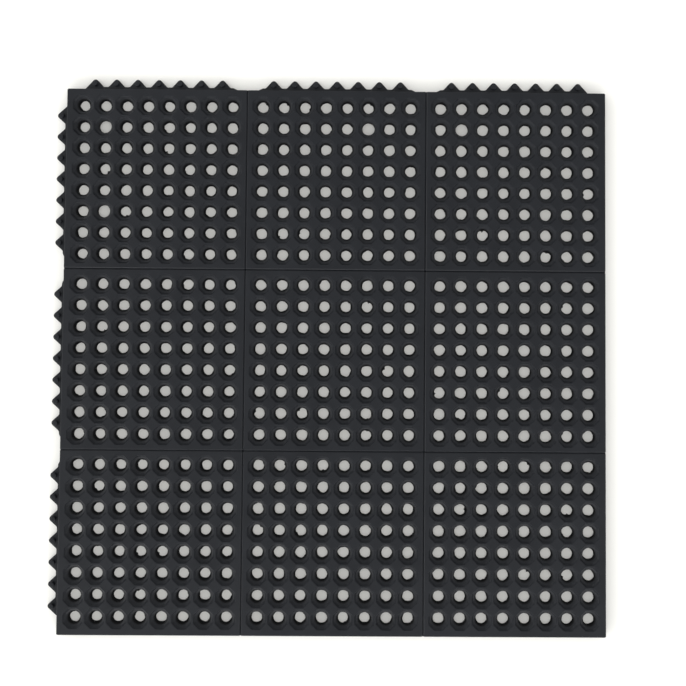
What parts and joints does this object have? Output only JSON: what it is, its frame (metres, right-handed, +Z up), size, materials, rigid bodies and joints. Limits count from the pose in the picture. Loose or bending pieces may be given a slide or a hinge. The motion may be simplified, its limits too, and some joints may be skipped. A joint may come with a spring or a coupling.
{
  "type": "interlocking rubber drainage mat",
  "caption": "Flat square rubber mat with a close grid of octagonal drain holes, shallow grooves marking off panels, and toothed tongues with round pegs along adjoining edges.",
  "frame": {"origin": "middle of the square body's underside, on the rubber between four holes", "axes": "+Z up through the mat, +X to the mat's right plain edge, +Y to its rear toothed edge"},
  "size_m": [0.9328, 0.9328, 0.012],
  "materials": {
    "rubber": "moulded, matt black"
  },
  "bodies": {
    "root": {"panel_row1_column1": "rubber", "panel_row1_column2": "rubber", "panel_row1_column3": "rubber", "panel_row2_column1": "rubber", "panel_row2_column2": "rubber", "panel_row2_column3": "rubber", "panel_row3_column1": "rubber", "panel_row3_column2": "rubber", "panel_row3_column3": "rubber"}
  },
  "joints": []
}
